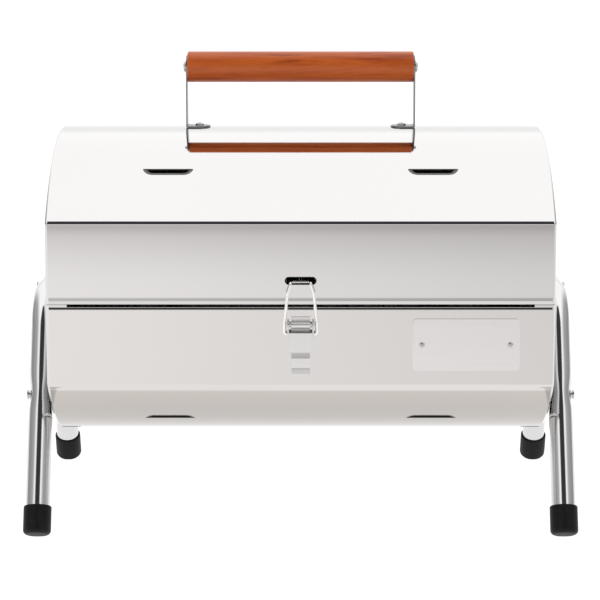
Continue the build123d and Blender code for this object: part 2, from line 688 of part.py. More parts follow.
def build_lid_shell():
    """Lid wrap sheet with the latch slot and the holes for handle and hinges."""
    shell = to_lid(lid_wrap())
    slot = Pos(0, SEAM_HEIGHT + SLOT_ABOVE_SEAM) * SlotOverall(SLOT_LENGTH, SLOT_HEIGHT)
    shell -= Pos(0, -HALF_DEPTH - 5, 0) * extrude(Plane.XZ * slot, -10)
    for x in (-FOOT_SCREW_X, FOOT_SCREW_X):
        shell -= z_rod(2.1, SEAM_HEIGHT + RIDGE - 5, SEAM_HEIGHT + RIDGE + 5, x, 0)
    for x in (-HINGE_X, HINGE_X):
        for rivet_x, rivet_z in hinge_rivet_points(x, 1):
            shell -= y_rod(1.5, HALF_DEPTH - 5, HALF_DEPTH + 5, rivet_x, rivet_z)
    return shell


def build_base_shell():
    """Base wrap sheet with the holes for nameplate, latch and hinges."""
    shell = to_base(base_wrap())
    holes = [(x, LATCH_DATUM + up) for x, up in latch_rivet_points()] + plate_rivet_points()
    for x, z in holes:
        shell -= y_rod(1.5, -HALF_DEPTH - 5, -HALF_DEPTH + 5, x, z)
    for x in (-HINGE_X, HINGE_X):
        for rivet_x, rivet_z in hinge_rivet_points(x, -1):
            shell -= y_rod(1.5, HALF_DEPTH - 5, HALF_DEPTH + 5, rivet_x, rivet_z)
    return shell


def build_base_end():
    """Base end panel at +X with the leg screw holes."""
    panel = to_base(end_pan())
    for y, z in leg_screw_points():
        panel -= x_rod(LEG_SCREW_HOLE / 2, HALF_LENGTH - 5, HALF_LENGTH + 5, y, z)
    return panel


def plate_rivet_points():
    """X and Z of the two nameplate rivets."""
    z = SEAM_HEIGHT - PLATE_BELOW_SEAM
    return [(PLATE_X - PLATE_RIVET_SPACING / 2, z), (PLATE_X + PLATE_RIVET_SPACING / 2, z)]


def build_nameplate():
    """Blank plate on the base front wall."""
    centre = Pos(PLATE_X, SEAM_HEIGHT - PLATE_BELOW_SEAM)
    outline = centre * RectangleRounded(PLATE_LENGTH, PLATE_HEIGHT, PLATE_CORNER)
    plate = Pos(0, -HALF_DEPTH, 0) * extrude(Plane.XZ * outline, PLATE_SHEET)
    for x, z in plate_rivet_points():
        plate -= y_rod(1.5, -HALF_DEPTH - 5, -HALF_DEPTH + 5, x, z)
    return plate


def build_grip():
    """Turned wooden grip with soft ends and a pilot hole in each end."""
    half = GRIP_LENGTH / 2
    grip = x_rod(GRIP_DIAMETER / 2, -half, half, 0, GRIP_HEIGHT)
    grip = fillet(grip.edges().filter_by(GeomType.CIRCLE), 1.0)
    for side in (-1, 1):
        grip -= x_rod(2.2, side * (half - 26 + STRAP_SHEET), side * half, 0, GRIP_HEIGHT)
    return grip


def build_foot_nut():
    """Nut of the strap foot screw, inside the lid."""
    under = SEAM_HEIGHT + RIDGE - SHELL_SHEET - 0.05
    return Pos(FOOT_SCREW_X, 0, under) * Rot(180, 0, 0) * hex_nut(7.0, 3.2, 4.0)


def hinge_rivets(up):
    """Rivets of both hinge leaves of the lid (up 1) or the base (up -1)."""
    rivets = []
    for x in (-HINGE_X, HINGE_X):
        for rivet_x, rivet_z in hinge_rivet_points(x, up):
            rivets.append(wall_rivet(rivet_x, rivet_z, 1, HINGE_SHEET, 3.0, 5.6, HALF_DEPTH - SHELL_SHEET - 0.9))
    return group(rivets)


def latch_rivets():
    """Two rivets that hold the latch plate."""
    inside = HALF_DEPTH - SHELL_SHEET - 0.9
    points = latch_rivet_points()
    return group([wall_rivet(x, LATCH_DATUM + up, -1, LATCH_SHEET, 3.0, 4.6, inside) for x, up in points])


def nameplate_rivets():
    """Two rivets that hold the nameplate."""
    inside = HALF_DEPTH - SHELL_SHEET - 0.9
    return group([wall_rivet(x, z, -1, PLATE_SHEET, 3.0, 4.4, inside) for x, z in plate_rivet_points()])


def build_parts():
    """All sub-parts by name."""
    parts = {}
    parts["base_shell"] = build_base_shell()
    parts["lid_shell"] = build_lid_shell()
    pivot_y, pivot_z = out_point(0, PIVOT_OUT, PIVOT_UP)[1:]
    parts["nameplate"] = build_nameplate()
    parts["nameplate_rivets"] = nameplate_rivets()
    parts["latch_base_plate"] = latch_base_plate()
    parts["latch_rivets"] = latch_rivets()
    parts["latch_pivot_pin"] = x_rod(PIVOT_DIAMETER / 2, -10.9, 10.9, pivot_y, pivot_z)
    parts["latch_lever"] = latch_lever()
    parts["latch_bail"] = latch_bail()
    parts["hinge_rivets_base"] = hinge_rivets(-1)
    parts["hinge_rivets_lid"] = hinge_rivets(1)
    parts["handle_grip"] = build_grip()
    parts["handle_end_screws"] = group([handle_end_screw(), left(handle_end_screw())])
    parts["handle_foot_screws"] = group([handle_foot_screw(), left(handle_foot_screw())])
    parts["handle_foot_nuts"] = group([build_foot_nut(), left(build_foot_nut())])
    grate_rest = SEAM_HEIGHT - GRATE_REST_BELOW_SEAM + REST_GAP
    coal_rest = SEAM_HEIGHT - COAL_REST_BELOW_SEAM + REST_GAP
    parts["cooking_grate"] = wire_grate(GRATE_LENGTH, GRATE_DEPTH, GRATE_BARS, grate_rest)
    parts["charcoal_grate"] = wire_grate(COAL_LENGTH, COAL_DEPTH, COAL_BARS, coal_rest)
    parts["grate_tabs_front"] = group([grate_tab(-TAB_X, -1), grate_tab(TAB_X, -1)])
    parts["grate_tabs_rear"] = group([grate_tab(-TAB_X, 1), grate_tab(TAB_X, 1)])

    paired = {
        "base_end": build_base_end(),
        "lid_end": to_lid(end_pan()),
        "leg_frame": leg_frame(),
        "leg_foot_front": leg_foot(-1),
        "leg_foot_rear": leg_foot(1),
        "leg_screws": leg_screws(),
        "leg_nuts": leg_nuts(),
        "leg_washers": leg_washers(),
        "hinge_leaf_base": hinge_leaf(HINGE_X, -1),
        "hinge_leaf_lid": hinge_leaf(HINGE_X, 1),
        "hinge_pin": x_rod(
            HINGE_PIN_DIAMETER / 2,
            HINGE_X - HINGE_WIDTH / 2,
            HINGE_X + HINGE_WIDTH / 2,
            HALF_DEPTH + HINGE_OUT,
            SEAM_HEIGHT,
        ),
        "handle_strap": handle_strap(),
        "charcoal_rail": coal_rail(),
    }
    for name, shape in paired.items():
        parts[name + "_right"] = shape
        parts[name + "_left"] = left(shape)
    return parts


os.makedirs("parts", exist_ok=True)
for part_name, part_shape in build_parts().items():
    export_step(part_shape, f"parts/{part_name}.step")
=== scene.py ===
import json
import math

import bmesh
import bpy
from mathutils import Matrix, Vector
from mathutils.geometry import delaunay_2d_cdt

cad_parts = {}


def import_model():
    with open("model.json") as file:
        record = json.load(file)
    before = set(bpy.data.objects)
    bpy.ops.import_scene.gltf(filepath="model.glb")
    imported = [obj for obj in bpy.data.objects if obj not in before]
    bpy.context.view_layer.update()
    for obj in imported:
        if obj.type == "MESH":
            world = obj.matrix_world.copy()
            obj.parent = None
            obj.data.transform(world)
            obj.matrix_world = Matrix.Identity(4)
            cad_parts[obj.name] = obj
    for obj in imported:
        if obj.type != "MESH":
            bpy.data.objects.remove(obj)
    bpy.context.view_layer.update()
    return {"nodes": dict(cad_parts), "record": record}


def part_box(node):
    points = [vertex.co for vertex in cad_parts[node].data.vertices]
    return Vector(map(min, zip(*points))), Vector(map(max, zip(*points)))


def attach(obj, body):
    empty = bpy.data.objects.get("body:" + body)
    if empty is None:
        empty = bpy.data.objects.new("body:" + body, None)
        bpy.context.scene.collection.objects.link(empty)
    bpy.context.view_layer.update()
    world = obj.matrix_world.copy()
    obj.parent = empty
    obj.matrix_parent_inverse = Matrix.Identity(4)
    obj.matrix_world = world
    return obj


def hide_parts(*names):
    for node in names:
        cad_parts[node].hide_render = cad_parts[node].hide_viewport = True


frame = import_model()
scene = bpy.context.scene
QUARTER = math.pi / 2


# ---------------------------------------------------------------- shader helpers

def new_material(name):
    """Empty principled material: returns material, node tree and shader."""
    material = bpy.data.materials.new(name)
    material.use_nodes = True
    tree = material.node_tree
    return material, tree, tree.nodes["Principled BSDF"]


def node(tree, kind, **settings):
    """Shader node with socket values or properties set by name."""
    made = tree.nodes.new(kind)
    for key, value in settings.items():
        if key in made.inputs:
            made.inputs[key].default_value = value
        else:
            setattr(made, key, value)
    return made


def feed(tree, socket, value):
    """Link an output to a socket, or set the socket to a plain value."""
    if isinstance(value, bpy.types.NodeSocket):
        tree.links.new(value, socket)
    else:
        socket.default_value = value


def object_coords(tree, scale=(1, 1, 1)):
    """Object coordinates stretched per axis."""
    coords = node(tree, "ShaderNodeTexCoord")
    mapping = node(tree, "ShaderNodeMapping")
    mapping.inputs["Scale"].default_value = scale
    feed(tree, mapping.inputs["Vector"], coords.outputs["Object"])
    return mapping.outputs["Vector"]


def axes(tree, vector):
    """Outputs X, Y and Z of a vector."""
    split = node(tree, "ShaderNodeSeparateXYZ")
    feed(tree, split.inputs["Vector"], vector)
    return split.outputs


def noise(tree, scale, detail, roughness, distortion=0.0, stretch=(1, 1, 1)):
    made = node(tree, "ShaderNodeTexNoise", Scale=scale, Detail=detail, Roughness=roughness,
                Distortion=distortion)
    feed(tree, made.inputs["Vector"], object_coords(tree, stretch))
    return made.outputs["Fac"]


def ramp(tree, source, stops):
    """Colour ramp over (position, colour) stops."""
    made = node(tree, "ShaderNodeValToRGB")
    elements = made.color_ramp.elements
    while len(elements) < len(stops):
        elements.new(0.5)
    for element, (position, colour) in zip(elements, stops):
        element.position = position
        element.color = (*colour, 1)
    feed(tree, made.inputs["Fac"], source)
    return made.outputs["Color"]


def remap(tree, source, start, end, low=0.0, high=1.0, kind="LINEAR"):
    """Value that runs from low to high while the source runs from start to end."""
    made = node(tree, "ShaderNodeMapRange", interpolation_type=kind)
    for key, value in (("From Min", start), ("From Max", end), ("To Min", low), ("To Max", high)):
        made.inputs[key].default_value = value
    feed(tree, made.inputs["Value"], source)
    return made.outputs["Result"]


def eased(tree, source, start, end, low, high):
    return remap(tree, source, start, end, low, high, "SMOOTHSTEP")


def calculate(tree, operation, *values):
    made = node(tree, "ShaderNodeMath", operation=operation)
    for socket, value in zip(made.inputs, values):
        feed(tree, socket, value)
    return made.outputs["Value"]


def blend(tree, factor, first, second, kind="MIX"):
    """Colour mix of first and second."""
    made = node(tree, "ShaderNodeMix", data_type="RGBA", blend_type=kind)
    feed(tree, made.inputs["Factor"], factor)
    feed(tree, made.inputs[6], first)
    feed(tree, made.inputs[7], second)
    return made.outputs[2]


def bump(tree, shader, height, strength, distance):
    made = node(tree, "ShaderNodeBump", Strength=strength, Distance=distance)
    feed(tree, made.inputs["Height"], height)
    feed(tree, shader.inputs["Normal"], made.outputs["Normal"])


# ---------------------------------------------------------------- materials

WALL_FOOT = 0.1225
ARCH_FOOT = 0.066
# Painted shade: colours that darken the lower arch of the base, standing in for the shaded floor it
# reflects.
UNDERSIDE_SHADE_STOPS = [(0.0, (0.29, 0.28, 0.27)), (1.0, (0.53, 0.50, 0.47))]


def polished_steel(name, colour, roughness, wave=0.02, streaks=(1, 1, 0.15), underside_shade=False):
    """Mirror finish with long soft waves and fine handling marks; the underside flag paints shade into the
    lower arch of the base, standing in for the shaded floor it reflects.
    """
    material, tree, shader = new_material(name)
    broad = noise(tree, 3.0, 2.0, 0.5)
    fine = noise(tree, 60.0, 4.0, 0.6, stretch=streaks)
    tint = ramp(tree, broad, [(0.35, tuple(0.975 * c for c in colour)), (0.65, colour)])
    if underside_shade:
        height = axes(tree, object_coords(tree))["Z"]
        # Painted shade below the wall foot, darkest at the bottom of the arch.
        underside_shade_tint = ramp(tree, remap(tree, height, ARCH_FOOT, WALL_FOOT), UNDERSIDE_SHADE_STOPS)
        tint = blend(tree, remap(tree, height, WALL_FOOT - 0.002, WALL_FOOT), underside_shade_tint, tint)
    shader.inputs["Metallic"].default_value = 1.0
    feed(tree, shader.inputs["Base Color"], tint)
    feed(tree, shader.inputs["Roughness"], remap(tree, fine, 0, 1, roughness * 0.7, roughness * 1.4))
    bump(tree, shader, broad, wave, 0.002)
    return material


def rubber():
    material, tree, shader = new_material("ferrule_rubber")
    grain = noise(tree, 220.0, 5.0, 0.65)
    feed(tree, shader.inputs["Base Color"],
         ramp(tree, grain, [(0.3, (0.004, 0.004, 0.004)), (0.75, (0.010, 0.010, 0.010))]))
    feed(tree, shader.inputs["Roughness"], remap(tree, grain, 0, 1, 0.42, 0.60))
    shader.inputs["Specular IOR Level"].default_value = 0.16
    bump(tree, shader, grain, 0.15, 0.0003)
    return material


def wood():
    """Varnished red-brown wood with its grain along X."""
    material, tree, shader = new_material("varnished_wood")
    grain = noise(tree, 60.0, 10.0, 0.7, distortion=0.5, stretch=(0.09, 1.3, 1.3))
    feed(tree, shader.inputs["Base Color"], ramp(tree, grain, [
        (0.32, (0.200, 0.026, 0.003)), (0.41, (0.480, 0.080, 0.009)),
        (0.55, (0.640, 0.128, 0.016)), (0.66, (0.330, 0.048, 0.005))]))
    feed(tree, shader.inputs["Roughness"], remap(tree, grain, 0, 1, 0.30, 0.42))
    shader.inputs["Coat Weight"].default_value = 0.12
    shader.inputs["Specular IOR Level"].default_value = 0.35
    shader.inputs["Coat Roughness"].default_value = 0.22
    bump(tree, shader, grain, 0.12, 0.0004)
    return material


def pressed_latch():
    """Latch steel; the step of the lever gets a band of painted shade, and its turned-up lip is made
    non-metallic white as a painted highlight.
    """
    material = polished_steel("pressed_latch", (0.78, 0.77, 0.765), 0.40)
    tree = material.node_tree
    shader = tree.nodes["Principled BSDF"]
    plain = shader.inputs["Base Color"].links[0].from_socket
    height = axes(tree, object_coords(tree))["Z"]
    # Painted shade: a darker band across the step of the lever.
    step_shade = ramp(tree, remap(tree, height, 0.130, 0.160), [
        (0.63, (1, 1, 1)), (0.66, (0.52, 0.52, 0.52)), (0.80, (0.60, 0.60, 0.60)), (0.83, (1, 1, 1))])
    feed(tree, shader.inputs["Base Color"], blend(tree, 1.0, plain, step_shade, "MULTIPLY"))
    # Painted highlight: the turned-up lip turns non-metallic white so it shows bright, standing in for its
    # reflection.
    feed(tree, shader.inputs["Metallic"], remap(tree, height, 0.1405, 0.1415, 0.05, 1.0))
    return material


STEEL = polished_steel("polished_sheet", (0.675, 0.665, 0.660), 0.045)
# The base sheet carries painted shade on its lower arch.
BASE_STEEL = polished_steel("polished_base_sheet", (0.675, 0.655, 0.640), 0.06, underside_shade=True)
TUBE = polished_steel("polished_tube", (0.66, 0.66, 0.665), 0.10)
BRIGHT = polished_steel("bright_plate", (0.80, 0.79, 0.785), 0.14)
PLATED = polished_steel("zinc_plate", (0.55, 0.55, 0.55), 0.28)
LATCH = pressed_latch()
PLAQUE = polished_steel("satin_plaque", (0.76, 0.745, 0.74), 0.24, wave=0.002, streaks=(0.05, 1, 4))
# Painted shade: the pressed-in vent flaps are drawn near-black, standing in for the shade inside the
# vents.
SHADED_LOUVRE = polished_steel("louvre_painted_shade", (0.10, 0.098, 0.095), 0.30)
WIRE = polished_steel("bright_wire", (0.93, 0.93, 0.92), 0.22)
# Painted shade: the strap colour is darkened to stand in for the dark floor reflected in its thin front
# edges.
SHADED_STRAP = polished_steel("strap_painted_shade", (0.30, 0.30, 0.30), 0.30)
RUBBER = rubber()
WOOD = wood()

SLOT_MATERIALS = {
    "stainless": STEEL, "tube": TUBE, "rubber": RUBBER, "fastener": PLATED, "plate": PLAQUE,
    "latch": LATCH, "wire": WIRE, "hinge": PLATED, "wood": WOOD, "strap": SHADED_STRAP,
    "grate": BRIGHT, "support": PLATED,
}
for entry in frame["record"]["subparts"]:
    mesh = frame["nodes"][entry["node"]].data
    mesh.materials.clear()
    mesh.materials.append(SLOT_MATERIALS[entry["material_slot"]])


# ---------------------------------------------------------------- mesh pieces

def mesh_piece(name, mesh, material, body, replaced):
    """Finished piece from a mesh, riding on a body in place of the replaced CAD nodes."""
    mesh.materials.append(material)
    made = bpy.data.objects.new(name, mesh)
    scene.collection.objects.link(made)
    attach(made, body)
    if replaced:
        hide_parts(*replaced)
    return made


def exact_piece(name, verts, faces, normals, material, body, replaced):
    """Piece with a given normal at every face corner; normals is a list of lists like faces."""
    for index, face in enumerate(faces):
        a, b, c = (Vector(verts[k]) for k in (face[0], face[1], face[-1]))
        if (b - a).cross(c - a).dot(normals[index][0]) < 0:
            faces[index] = list(reversed(face))
            normals[index] = list(reversed(normals[index]))
    mesh = bpy.data.meshes.new(name)
    mesh.from_pydata(verts, [], faces)
    for polygon in mesh.polygons:
        polygon.use_smooth = True
    mesh.normals_split_custom_set([normal for face in normals for normal in face])
    return mesh_piece(name, mesh, material, body, replaced)


def smooth_piece(name, verts, faces, angle, material, body, replaced=()):
    """Piece with outward faces, shaded smooth across edges below an angle in degrees."""
    mesh = bpy.data.meshes.new(name)
    mesh.from_pydata(verts, [], faces)
    work = bmesh.new()
    work.from_mesh(mesh)
    bmesh.ops.remove_doubles(work, verts=work.verts, dist=1e-7)
    bmesh.ops.recalc_face_normals(work, faces=work.faces)
    work.to_mesh(mesh)
    work.free()
    for polygon in mesh.polygons:
        polygon.use_smooth = True
    mesh.set_sharp_from_angle(angle=math.radians(angle))
    return mesh_piece(name, mesh, material, body, replaced)


def strip(first, second, count):
    """Quads between two closed rings of vertices that start at the given numbers."""
    turns = ((k, (k + 1) % count) for k in range(count))
    return [(first + a, first + b, second + b, second + a) for a, b in turns]


def ring(radius, count):
    """Points (x, y) around a circle."""
    angles = (2 * math.pi * k / count for k in range(count))
    return [(radius * math.cos(angle), radius * math.sin(angle)) for angle in angles]


# ---------------------------------------------------------------- cross-section of the barrel

# The two halves mirror each other: heights are measured from the seam, side 1 is the lid and -1 the base.
SEAM = 0.1908
HALF_DEPTH = 0.148
WALL = 0.065
RISE = 0.0605
CREASE = 0.004
CREASE_EASE = [(0.009, 0.0), (0.004, 0.3), (0.0, 0.9)]
ARCH_RADIUS = (HALF_DEPTH ** 2 + RISE ** 2) / (2 * RISE)
ARCH_CENTRE = WALL + RISE - ARCH_RADIUS
SHEET = 0.001
GAP = 0.00075
HEM_HEIGHT = 0.006
HEM_REACH = 0.0008
RIM_RADIUS = 0.0035
RIM_FLANGE = 0.0025


def arc_samples(centre_y, centre_z, radius, start, end, count):
    """Samples (y, z, ny, nz) along an arc whose angle is measured from +Z towards +Y."""
    samples = []
    for index in range(count + 1):
        angle = start + (end - start) * index / count
        ny, nz = math.sin(angle), math.cos(angle)
        samples.append((centre_y + radius * ny, centre_z + radius * nz, ny, nz))
    return samples


def mirrored(samples):
    """The same line at the other side of the barrel, in reverse order."""
    return [(-y, z, -ny, nz) for y, z, ny, nz in reversed(samples)]


def half_profile(foot, inset=0.0):
    """Outer line of one half from the front seam edge over the arch to the back seam edge."""
    half = HALF_DEPTH - inset
    radius = ARCH_RADIUS - inset
    bend = CREASE - inset
    bend_y = half - bend
    bend_z = ARCH_CENTRE + math.sqrt((radius - bend) ** 2 - bend_y ** 2)
    turn = math.asin(bend_y / (radius - bend))
    front = [(-half, foot, -1.0, 0.0)]
    for drop, degrees in CREASE_EASE:
        tilt = math.radians(degrees)
        front.append((-half, bend_z - drop, -math.cos(tilt), math.sin(tilt)))
    front += arc_samples(-bend_y, bend_z, bend, -QUARTER, -turn, 12)[1:]
    return front + arc_samples(0, ARCH_CENTRE, radius, -turn, turn, 64)[1:-1] + mirrored(front)


def lid_profile():
    """Lid line: flared front hem, then the plain half section."""
    tilt = 2 * math.atan(HEM_REACH / HEM_HEIGHT)
    radius = HEM_HEIGHT / math.sin(tilt)
    flare = []
    for index in range(9):
        t = tilt * (1 - index / 8)
        y = -HALF_DEPTH - radius * (1 - math.cos(t))
        flare.append((y, GAP + HEM_HEIGHT - radius * math.sin(t), -math.cos(t / 2), math.sin(t / 2)))
    return flare + half_profile(GAP)[1:]


def base_profile():
    """Base line: both seam edges rolled inwards."""
    centre = HALF_DEPTH - RIM_RADIUS
    foot = GAP + RIM_RADIUS
    front = [(-centre + RIM_FLANGE, GAP, 0.0, -1.0)]
    front += arc_samples(-centre, foot, RIM_RADIUS, -2 * QUARTER, -QUARTER, 12)
    return front + half_profile(foot)[1:-1] + mirrored(front)


def lengths(samples):
    """Distance along the line at each sample."""
    total = [0.0]
    for a, b in zip(samples, samples[1:]):
        total.append(total[-1] + math.hypot(b[0] - a[0], b[1] - a[1]))
    return total


def at_length(samples, total, distance):
    """Interpolated (y, z, ny, nz) at a distance along the line."""
    index = 0
    while index < len(total) - 2 and total[index + 1] < distance - 1e-9:
        index += 1
    share = (distance - total[index]) / (total[index + 1] - total[index])
    share = min(1.0, max(0.0, share))
    y, z, ny, nz = (p + (q - p) * share for p, q in zip(samples[index], samples[index + 1]))
    size = math.hypot(ny, nz)
    return y, z, ny / size, nz / size


def length_at(samples, column, value):
    """Distance along the line where y (column 0) or z (column 1) first passes a value."""
    total = lengths(samples)
    for index, (a, b) in enumerate(zip(samples, samples[1:])):
        if a[column] <= value <= b[column] and b[column] > a[column]:
            share = (value - a[column]) / (b[column] - a[column])
            return total[index] + share * (total[index + 1] - total[index])
    raise ValueError(value)


# ---------------------------------------------------------------- wrap sheets

HALF_LENGTH = 0.2
END_BEND = 0.0025
SHEET_HALF = HALF_LENGTH - END_BEND
VENT_X = 0.1055
VENT_EDGE_Y = -0.0979
VENT_HALF = 0.020
VENT_WIDTH = 0.008
SLOT_HALF = 0.0125
SLOT_RADIUS = 0.0032
SLOT_UP = 0.0193


def inside(point, loop):
    """Whether a flat point lies in a closed loop."""
    x, y = point
    odd = False
    for (ax, ay), (bx, by) in zip(loop, loop[1:] + loop[:1]):
        if (ay > y) != (by > y) and x < (bx - ax) * (y - ay) / (by - ay) + ax:
            odd = not odd
    return odd


def flat_sheet(total, holes):
    """Points and triangles of the unbent sheet, ruled at every length and cut by the holes."""
    points, edges = [], []
    for index, distance in enumerate(total):
        points += [Vector((-SHEET_HALF, distance)), Vector((SHEET_HALF, distance))]
        edges.append((2 * index, 2 * index + 1))
    for start in range(0, 2 * len(total) - 2, 2):
        edges += [(start, start + 2), (start + 1, start + 3)]
    for loop in holes:
        start = len(points)
        points += [Vector(point) for point in loop]
        count = len(loop)
        edges += [(start + k, start + (k + 1) % count) for k in range(count)]
    flat, _, triangles, *_ = delaunay_2d_cdt(points, edges, [], 0, 1e-7)
    kept = []
    for face in triangles:
        middle = sum((flat[k] for k in face), Vector((0, 0))) / 3
        if not any(inside(middle, loop) for loop in holes):
            kept.append(tuple(face))
    return flat, kept


def bent_sheet(name, samples, holes, side, material, body, replaced):
    """Sheet of constant thickness bent along a line, with holes given as loops of (x, distance)."""
    total = lengths(samples)
    flat, triangles = flat_sheet(total, holes)
    outer, inner, normal = [], [], []
    for point in flat:
        y, z, ny, nz = at_length(samples, total, point.y)
        outer.append((point.x, y, SEAM + side * z))
        inner.append((point.x, y - SHEET * ny, SEAM + side * (z - SHEET * nz)))
        normal.append(Vector((0, ny, side * nz)))
    count = len(outer)
    verts = outer + inner
    faces, normals = [], []
    borders = {}
    for face in triangles:
        a, b, c = (Vector(outer[k]) for k in face)
        if (b - a).cross(c - a).dot(normal[face[0]]) < 0:
            face = face[::-1]
        faces.append(face)
        normals.append([normal[k] for k in face])
        faces.append(tuple(k + count for k in reversed(face)))
        normals.append([-normal[k] for k in reversed(face)])
        for pair in zip(face, face[1:] + face[:1]):
            borders[pair] = True
    for a, b in borders:
        if (b, a) not in borders:
            quad = (b, a, a + count, b + count)
            first, second, third = (Vector(verts[k]) for k in quad[:3])
            faces.append(quad)
            normals.append([(second - first).cross(third - first).normalized()] * 4)
    exact_piece(name, verts, faces, normals, material, body, (replaced,))


def vent_loop(x, edge):
    """Outline of a vent: straight on the ridge side, round at the seam-side corners."""
    middle = VENT_HALF - VENT_WIDTH
    loop = []
    for end, steps in ((1, range(9)), (-1, range(8, -1, -1))):
        for index in steps:
            angle = QUARTER * index / 8
            reach = middle + VENT_WIDTH * math.cos(angle)
            loop.append((x + end * reach, edge - VENT_WIDTH * math.sin(angle)))
    return loop


def slot_loop(level):
    """Outline of the latch slot as x and distance along the front wall."""
    straight = SLOT_HALF - SLOT_RADIUS
    loop = []
    for end in (1, -1):
        for index in range(13):
            angle = -end * QUARTER + math.pi * index / 12
            x = end * straight + SLOT_RADIUS * math.cos(angle)
            loop.append((x, level + SLOT_RADIUS * math.sin(angle)))
    return loop


# ---------------------------------------------------------------- louvres

FLAP_DEPTH = 0.0046
FLAP_SLOPE = 1.1467
FLAP_ROUNDING = 72.8
FLAP_OVERLAP = 0.0002
FLAP_SHEET = 0.0009
FLAP_STEPS = 12


def vent_flap(name, x, side, body):
    """Pressed-in flap below one vent, a bowl cut off by the straight edge."""
    lean = math.asin(-VENT_EDGE_Y / ARCH_RADIUS)
    origin = Vector((x, VENT_EDGE_Y, ARCH_CENTRE + ARCH_RADIUS * math.cos(lean)))
    up = Vector((0, math.cos(lean), math.sin(lean)))
    out = Vector((0, -math.sin(lean), math.cos(lean)))
    middle = VENT_HALF - VENT_WIDTH
    stations = [(-middle, math.radians(-90 + 9 * k)) for k in range(11)]
    stations += [(middle, math.radians(9 * k)) for k in range(11)]
    verts, faces = [], []
    for drop in (0.0, FLAP_SHEET):
        for base_x, angle in stations:
            for k in range(FLAP_STEPS + 1):
                r = (VENT_WIDTH + FLAP_OVERLAP) * k / FLAP_STEPS
                depth = FLAP_SLOPE * r - FLAP_ROUNDING * r * r - FLAP_DEPTH - drop
                point = origin + Vector((base_x + r * math.sin(angle), 0, 0))
                point += out * depth - up * r * math.cos(angle)
                verts.append((point.x, point.y, SEAM + side * point.z))
    width = FLAP_STEPS + 1
    count = len(stations) * width
    for i in range(len(stations) - 1):
        for k in range(FLAP_STEPS):
            a, b = i * width + k, i * width + k + 1
            c, d = b + width, a + width
            faces += [(a, b, c, d), (d + count, c + count, b + count, a + count)]
    for a in range(0, count - width, width):
        faces.append((a + width, a + width + count, a + count, a))
    for end in (0, count - width):
        for a in range(end, end + FLAP_STEPS):
            faces.append((a, a + count, a + 1 + count, a + 1))
    # The flap takes the near-black louvre colour, which is painted shade.
    smooth_piece(name, verts, faces, 40, SHADED_LOUVRE, body)


# ---------------------------------------------------------------- end panels

END_GAP = 0.0002
END_SHEET = 0.0008
END_FLANGE = 0.014


def end_pan(name, end, side, body, replaced):
    """End panel with its bent rim and flange; end is -1 for the left and 1 for the right."""
    samples = half_profile(END_GAP, SHEET)
    count = len(samples)
    verts, faces, normals = [], [], []
    for bend, inset, sign in ((END_BEND, 0.0, 1), (END_BEND - END_SHEET, END_SHEET, -1)):
        layer = [(SHEET_HALF - END_FLANGE, inset, 0.0)]
        for turn in (QUARTER * k / 8 for k in range(9)):
            layer.append((SHEET_HALF + bend * math.sin(turn), inset + bend * (1 - math.cos(turn)), turn))
        start = len(verts)
        layer_normals = []
        for x, cut, turn in layer:
            for y, z, ny, nz in samples:
                verts.append((end * x, y - cut * ny, SEAM + side * (z - cut * nz)))
                outward = Vector((end * math.sin(turn), ny * math.cos(turn), side * nz * math.cos(turn)))
                layer_normals.append(outward * sign)
        for a in range((len(layer) - 1) * count):
            if a % count < count - 1:
                quad = (a, a + 1, a + 1 + count, a + count)
                faces.append([start + q for q in quad])
                normals.append([layer_normals[q] for q in quad])
        last = start + (len(layer) - 1) * count
        faces.append(list(range(last, last + count)))
        normals.append([Vector((end * sign, 0, 0))] * count)
    thick = len(verts) // 2
    for k in range(count - 1):
        faces.append([k + 1, k, k + thick, k + 1 + thick])
        normals.append([Vector((-end, 0, 0))] * 4)
    seam_edges = [(a, a + count) for column in (0, count - 1) for a in range(column, thick - count, count)]
    for a, b in seam_edges + [(thick - count, thick - 1)]:
        faces.append([a, b, b + thick, a + thick])
        normals.append([Vector((0, 0, -side))] * 4)
    exact_piece(name, verts, faces, normals, STEEL, body, (replaced,))


def build_barrel():
    lid = lid_profile()
    edge = length_at(lid, 0, VENT_EDGE_Y)
    holes = [vent_loop(-VENT_X, edge), vent_loop(VENT_X, edge), slot_loop(length_at(lid, 1, SLOT_UP))]
    bent_sheet("lid_sheet", lid, holes, 1, STEEL, "lid", "lid_shell")
    base = base_profile()
    edge = length_at(base, 0, VENT_EDGE_Y)
    holes = [vent_loop(-VENT_X, edge), vent_loop(VENT_X, edge)]
    bent_sheet("base_sheet", base, holes, -1, BASE_STEEL, "base", "base_shell")
    for body, side in (("lid", 1), ("base", -1)):
        for end, word in ((-1, "left"), (1, "right")):
            vent_flap(f"{body}_louvre_{word}", end * VENT_X, side, body)
    for end, word in ((-1, "left"), (1, "right")):
        end_pan(f"lid_pan_{word}", end, 1, "lid", f"lid_end_{word}")
        end_pan(f"base_pan_{word}", end, -1, "base", f"base_end_{word}")


build_barrel()


# ---------------------------------------------------------------- legs and grip

LEG_X = 0.2108
LEG_FLOOR_Y = 0.1427
LEG_LEAN = math.radians(26.4)
LEG_BEND = 0.042
LEG_TOP = 0.1814
LEG_END_Z = 0.009
TUBE_RADIUS = 0.0098
LOW_SCREW_Z = 0.107
PINCH = 0.13
PINCH_SPREAD = 0.009
PINCH_SWELL = 0.35
FERRULE_RADIUS = 0.0112
FERRULE_ROUNDING = 0.0035
FERRULE_LENGTH = 0.023
FERRULE_LIP = 0.0008
FERRULE_BORE = 0.00975
FERRULE_FLOOR = 0.006
FERRULE_SINK = 0.0004
GRIP_HEIGHT = 0.366
GRIP_RADIUS = 0.01275
GRIP_HALF = 0.0938
GRIP_ROUNDING = 0.0014


